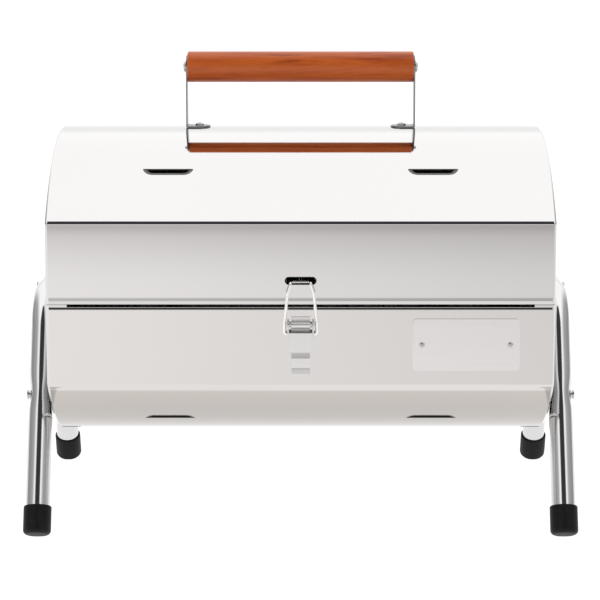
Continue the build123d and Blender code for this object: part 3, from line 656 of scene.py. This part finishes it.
def leg_path():
    """Axis of a leg frame as (y, z) from the front foot over the top to the rear foot."""
    shoulder = LEG_FLOOR_Y - LEG_TOP * math.tan(LEG_LEAN)
    turn = QUARTER - LEG_LEAN
    centre_y = shoulder - LEG_BEND * math.tan(turn / 2)
    centre_z = LEG_TOP - LEG_BEND
    start_z = centre_z + LEG_BEND * math.sin(LEG_LEAN)
    half = []
    for index in range(61):
        z = LEG_END_Z + (start_z - LEG_END_Z) * index / 60
        half.append((z * math.tan(LEG_LEAN) - LEG_FLOOR_Y, z))
    for index in range(1, 25):
        angle = LEG_LEAN + turn * index / 24
        half.append((-centre_y - LEG_BEND * math.cos(angle), centre_z + LEG_BEND * math.sin(angle)))
    for index in range(1, 6):
        half.append((-centre_y * (1 - index / 6), LEG_TOP))
    return half + [(0.0, LEG_TOP)] + [(-y, z) for y, z in reversed(half)]


def leg_tube(name, x, replaced):
    """Bent tube, open at both ends, pinched a little where the lower screws clamp it."""
    path = [Vector((x, y, z)) for y, z in leg_path()]
    segments = 64
    sideways = Vector((1, 0, 0))
    verts, faces = [], []
    for index, point in enumerate(path):
        ahead = path[min(len(path) - 1, index + 1)] - path[max(0, index - 1)]
        across = ahead.normalized().cross(sideways).normalized()
        pinch = PINCH * math.exp(-((point.z - LOW_SCREW_Z) / PINCH_SPREAD) ** 2)
        for u, v in ring(TUBE_RADIUS, segments):
            verts.append(point + sideways * u * (1 - pinch) + across * v * (1 + PINCH_SWELL * pinch))
    for index in range(len(path) - 1):
        faces += strip(index * segments, (index + 1) * segments, segments)
    smooth_piece(name, verts, faces, 60, TUBE, "base", (replaced,))


def lathe(name, profile, place, segments, material, body, replaced):
    """Turned piece: profile is (radius, height) points from axis to axis, placed by a matrix."""
    verts, faces = [], []
    for radius, height in profile:
        verts += [place @ Vector((x, y, height)) for x, y in ring(radius, segments)]
    for index in range(len(profile) - 1):
        faces += strip(index * segments, (index + 1) * segments, segments)
    return smooth_piece(name, verts, faces, 30, material, body, (replaced,))


def round_corner(radius, height, bend, up):
    """Profile points of a rounded outer corner; up is 1 for a top corner and -1 for a bottom one."""
    points = []
    for k in range(7):
        angle = QUARTER * k / 6
        points.append((radius - bend + bend * math.cos(angle), height + up * bend * (math.sin(angle) - 1)))
    return points if up > 0 else points[::-1]


def build_legs():
    sink = (FERRULE_RADIUS - FERRULE_ROUNDING) * math.sin(LEG_LEAN) - FERRULE_SINK
    sink += FERRULE_ROUNDING * (1 - math.cos(LEG_LEAN))
    start = sink / math.cos(LEG_LEAN)
    shoulder = FERRULE_LENGTH - FERRULE_LIP
    profile = [(0.0, 0.0)] + round_corner(FERRULE_RADIUS, 0.0, FERRULE_ROUNDING, -1)
    profile += [(FERRULE_RADIUS, shoulder)] + round_corner(FERRULE_RADIUS, FERRULE_LENGTH, FERRULE_LIP, 1)
    profile += [(FERRULE_BORE + 0.0001, FERRULE_LENGTH), (FERRULE_BORE, shoulder),
                (FERRULE_BORE, FERRULE_FLOOR), (0.0, FERRULE_FLOOR)]
    for end, word in ((-1, "left"), (1, "right")):
        leg_tube(f"leg_tube_{word}", end * LEG_X, f"leg_frame_{word}")
        for side, place_word in ((-1, "front"), (1, "rear")):
            foot_y = side * (LEG_FLOOR_Y - start * math.sin(LEG_LEAN))
            lean = Matrix.Rotation(side * LEG_LEAN, 4, "X")
            place = Matrix.Translation((end * LEG_X, foot_y, start * math.cos(LEG_LEAN))) @ lean
            foot = lathe(f"ferrule_{place_word}_{word}", profile, place, 64, RUBBER, "base",
                         f"leg_foot_{place_word}_{word}")
            for vertex in foot.data.vertices:
                vertex.co.z = max(vertex.co.z, 0.0)


def build_grip():
    profile = [(0.0, -GRIP_HALF)] + round_corner(GRIP_RADIUS, -GRIP_HALF, GRIP_ROUNDING, -1)
    profile += [(GRIP_RADIUS, GRIP_HALF - GRIP_ROUNDING)]
    profile += round_corner(GRIP_RADIUS, GRIP_HALF, GRIP_ROUNDING, 1) + [(0.0, GRIP_HALF)]
    place = Matrix.Translation((0, 0, GRIP_HEIGHT)) @ Matrix.Rotation(QUARTER, 4, "Y")
    lathe("wooden_grip", profile, place, 96, WOOD, "lid", "handle_grip")


build_legs()
build_grip()


# ---------------------------------------------------------------- screws and rivets

HEAD_TURNS = 72
HEAD_RINGS = 22
SHANK_TURNS = 32

# Head radius, head height, crown, shank radius and shank length of the leg screws and strap screws.
LEG_SCREW = (0.0039, 0.0020, 0.0013, 0.0025, 0.0269)
STRAP_SCREW = (0.0036, 0.0022, 0.0014, 0.0020, 0.0080)
GRIP_SCREW_SEAT = 0.0950
STRAP_SCREW_X = 0.084

# Node, middle in X, half spacing, seat in Y and head radius of the rivet pairs on the front wall.
RIVET_PAIRS = [("nameplate_rivets", 0.130, 0.0347, -0.149, 0.0022),
               ("latch_rivets", 0.0, 0.0038, -0.1492, 0.0023)]


def ease(value, width):
    """Value over width, held between 0 and 1."""
    return max(0.0, min(1.0, value / width))


def recess(x, y, radius, height, mark):
    """Depth of the cross recess (mark "cross") or the pin hole (mark "hole") at a point of a head."""
    if mark == "hole":
        return 0.5 * height * ease(0.42 * radius - math.hypot(x, y), 0.08 * radius)
    arm = ease(0.15 * radius - min(abs(x), abs(y)), 0.05 * radius)
    reach = ease(0.62 * radius - max(abs(x), abs(y)), 0.10 * radius)
    return 0.45 * height * arm * reach


def add_head(place, radius, height, crown, mark, verts, faces):
    """Domed head with its recess, on a short skirt."""
    start = len(verts)
    for index in range(HEAD_RINGS + 1):
        share = index / HEAD_RINGS
        top = height - crown * (1 - math.sqrt(1 - (0.985 * share) ** 2))
        for x, y in ring(radius * share, HEAD_TURNS):
            verts.append(place @ Vector((x, y, top - recess(x, y, radius, height, mark))))
    for level in (0.12 * height, 0.0):
        verts += [place @ Vector((x, y, level)) for x, y in ring(radius, HEAD_TURNS)]
    for index in range(HEAD_RINGS + 2):
        faces += strip(start + index * HEAD_TURNS, start + (index + 1) * HEAD_TURNS, HEAD_TURNS)
    faces.append(tuple(range(len(verts) - HEAD_TURNS, len(verts))))


def add_shank(place, radius, length, verts, faces):
    """Plain shank running down from the head's seat."""
    start = len(verts)
    for level in (0.0002, -length):
        verts += [place @ Vector((x, y, level)) for x, y in ring(radius, SHANK_TURNS)]
    faces += strip(start, start + SHANK_TURNS, SHANK_TURNS)
    faces.append(tuple(range(start, start + SHANK_TURNS)))
    faces.append(tuple(reversed(range(start + SHANK_TURNS, start + 2 * SHANK_TURNS))))


def fasteners(name, places, sizes, mark, body, replaced):
    """Set of equal fasteners; sizes are head radius, head height, crown, shank radius and shank length."""
    radius, height, crown, shank, length = sizes
    verts, faces = [], []
    for place in places:
        add_head(place, radius, height, crown, mark, verts, faces)
        add_shank(place, shank, length, verts, faces)
    smooth_piece(name, verts, faces, 38, PLATED, body, (replaced,))


def facing(point, axis, spin=0.0):
    """Placement whose Z looks along an axis."""
    turn = Vector(axis).to_track_quat("Z", "Y").to_matrix().to_4x4()
    return Matrix.Translation(point) @ turn @ Matrix.Rotation(spin, 4, "Z")


def build_fasteners():
    low_y = LEG_FLOOR_Y - LOW_SCREW_Z * math.tan(LEG_LEAN)
    for end, word in ((-1, "left"), (1, "right")):
        crown = end * (LEG_X + TUBE_RADIUS)
        spots = [(crown, -low_y, LOW_SCREW_Z), (crown, low_y, LOW_SCREW_Z), (crown, 0.0, LEG_TOP)]
        places = [facing(spot, (end, 0, 0), 0.4 + 0.7 * k) for k, spot in enumerate(spots)]
        fasteners(f"leg_screw_set_{word}", places, LEG_SCREW, "cross", "base", f"leg_screws_{word}")
    low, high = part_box("handle_end_screws")
    places = [facing((end * GRIP_SCREW_SEAT, 0, GRIP_HEIGHT), (end, 0, 0), 0.3 * end) for end in (-1, 1)]
    sizes = (0.0045, high[0] - GRIP_SCREW_SEAT, 0.0018, 0.0022, 0.026)
    fasteners("grip_screw_set", places, sizes, "cross", "lid", "handle_end_screws")
    low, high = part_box("handle_foot_screws")
    seat = high[2] - STRAP_SCREW[1]
    places = [facing((end * STRAP_SCREW_X, 0, seat), (0, 0, 1), 0.5 * end) for end in (-1, 1)]
    fasteners("strap_screw_set", places, STRAP_SCREW, "cross", "lid", "handle_foot_screws")
    for node_name, middle, spacing, seat, head in RIVET_PAIRS:
        low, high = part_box(node_name)
        level = (low[2] + high[2]) / 2
        places = [facing((middle + end * spacing, seat, level), (0, -1, 0)) for end in (-1, 1)]
        sizes = (head, seat - low[1], 0.0009, 0.0015, high[1] - seat)
        fasteners(f"{node_name}_set", places, sizes, "hole", "base", node_name)


build_fasteners()


# ---------------------------------------------------------------- floor, light, camera

FLOOR_REACH = 12
FLAG_COLOUR = (0.05, 0.05, 0.055, 1)
LENS = 148.7
CAMERA_PLACE = (-0.0005, -2.061, 0.5236)
CAMERA_PITCH = 9.75


def floor():
    """Glowing white table: even under the barrel, falling off far in front and a little to the right."""
    mesh = bpy.data.meshes.new("floor")
    corners = [(-1, -1), (1, -1), (1, 1), (-1, 1)]
    mesh.from_pydata([(FLOOR_REACH * x, FLOOR_REACH * y, 0) for x, y in corners], [], [(0, 1, 2, 3)])
    plane = bpy.data.objects.new("floor", mesh)
    scene.collection.objects.link(plane)
    material, tree, shader = new_material("pale_floor")
    shader.inputs["Base Color"].default_value = (0.05, 0.05, 0.05, 1)
    shader.inputs["Roughness"].default_value = 0.9
    place = axes(tree, object_coords(tree))
    ahead = eased(tree, place["Y"], -2.25, -1.35, 0.62, 1.10)
    across = eased(tree, place["X"], -0.5, 0.5, 1.0, 0.78)
    near = eased(tree, place["Y"], -0.75, -0.45, 0.0, 1.0)
    glow = calculate(tree, "MULTIPLY", ahead, calculate(tree, "MAXIMUM", across, near))
    feed(tree, shader.inputs["Emission Strength"], glow)
    feed(tree, shader.inputs["Emission Color"],
         ramp(tree, ahead, [(0.55, (1.0, 0.955, 0.955)), (1.0, (1.0, 0.985, 0.98))]))
    mesh.materials.append(material)


def world():
    """White studio, brightest overhead, shaded at both sides, with one dark flag high up in front."""
    made = bpy.data.worlds.new("studio")
    scene.world = made
    made.use_nodes = True
    tree = made.node_tree
    background = tree.nodes["Background"]
    way = axes(tree, node(tree, "ShaderNodeTexCoord").outputs["Generated"])
    sky = ramp(tree, way["Z"], [
        (0.0, (1.06, 1.06, 1.06)), (0.27, (1.05, 1.05, 1.05)), (0.42, (1.33, 1.33, 1.33)),
        (1.0, (1.42, 1.42, 1.42))])
    wings = eased(tree, calculate(tree, "ABSOLUTE", way["X"]), 0.45, 0.80, 1.0, 0.38)
    above = eased(tree, way["Z"], 0.0, 0.08, 0.0, 1.0)
    shaded = blend(tree, above, sky, wings, "MULTIPLY")
    turn = calculate(tree, "ARCTAN2", way["X"], calculate(tree, "MULTIPLY", way["Y"], -1.0))
    across = eased(tree, calculate(tree, "ABSOLUTE", turn), 0.38, 0.56, 1.0, 0.0)
    height = ramp(tree, way["Z"], [
        (0.12, (0, 0, 0)), (0.20, (1, 1, 1)), (0.970, (1, 1, 1)), (0.988, (0, 0, 0))])
    flag = calculate(tree, "MULTIPLY", across, height)
    feed(tree, background.inputs["Color"], blend(tree, flag, shaded, FLAG_COLOUR))
    background.inputs["Strength"].default_value = 1.0


def camera():
    data = bpy.data.cameras.new("camera")
    data.sensor_width = 36
    data.lens = LENS
    data.clip_end = 50
    made = bpy.data.objects.new("camera", data)
    made.location = CAMERA_PLACE
    made.rotation_euler = (math.radians(90 - CAMERA_PITCH), 0, 0)
    scene.collection.objects.link(made)
    scene.camera = made


floor()
world()
camera()
scene.view_settings.view_transform = "Standard"
